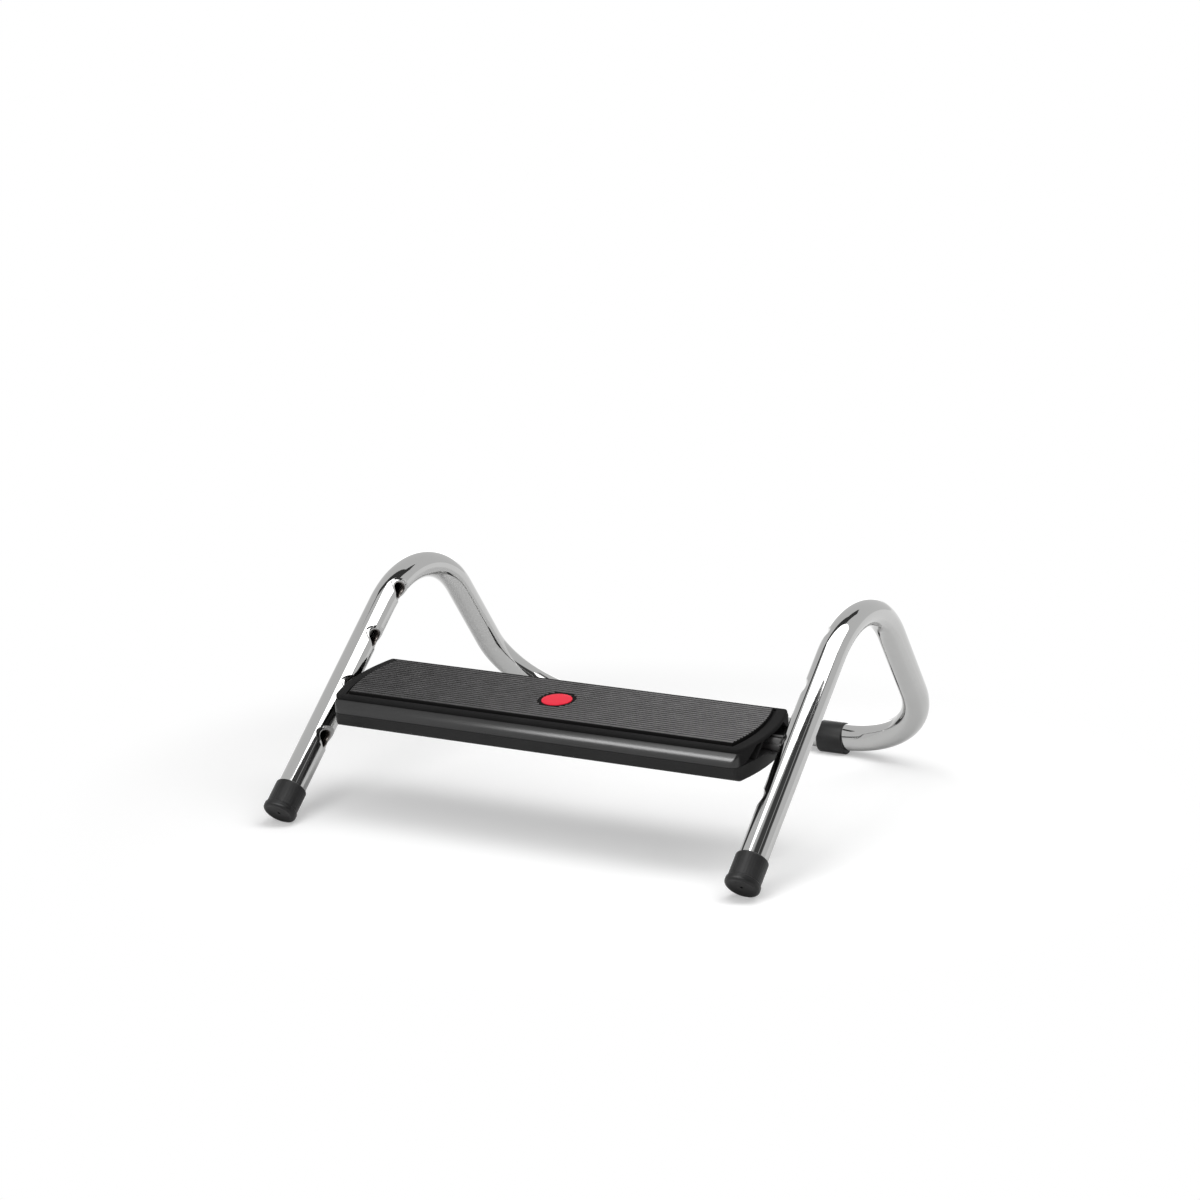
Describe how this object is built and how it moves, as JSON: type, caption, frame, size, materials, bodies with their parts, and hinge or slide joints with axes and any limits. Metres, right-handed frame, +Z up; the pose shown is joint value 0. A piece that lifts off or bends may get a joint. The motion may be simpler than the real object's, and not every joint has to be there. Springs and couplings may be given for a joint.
{
  "type": "footrest",
  "caption": "Free-standing under-desk footrest: a bent chromed tube frame with height sockets that carries a ribbed tread platform on pivot stubs, free to tilt.",
  "frame": {"origin": "on the floor under the middle of the overall box", "axes": "+Z up, +X to the right seen from the user's side, -Y towards the user, platform near the -Y end"},
  "size_m": [0.4764, 0.4582, 0.1984],
  "materials": {
    "chrome_tube": "bright chrome plate",
    "black_rubber": "matt moulded rubber",
    "gloss_black": "semi-gloss moulded plastic",
    "ribbed_mat": "satin ribbed rubber",
    "red_disc": "satin",
    "stub_black": "satin moulded plastic",
    "zinc_steel": "zinc-plated"
  },
  "bodies": {
    "frame": {"frame_tube": "chrome_tube", "left_front_cap": "black_rubber", "right_front_cap": "black_rubber", "left_rear_sleeve": "black_rubber", "right_rear_sleeve": "black_rubber"},
    "platform": {"top_shell": "gloss_black", "bottom_tray": "gloss_black", "tray_screws": "zinc_steel", "tread_mat": "ribbed_mat", "badge_disc": "red_disc", "axle_rod": "zinc_steel", "left_pivot_stub": "stub_black", "right_pivot_stub": "stub_black"}
  },
  "joints": [
    {"name": "platform_tilt", "type": "hinge", "parent": "frame", "child": "platform", "pos_m": [0, -0.1144, 0.10117], "axis": [1, 0, 0], "range_deg": [-20, 20]}
  ]
}
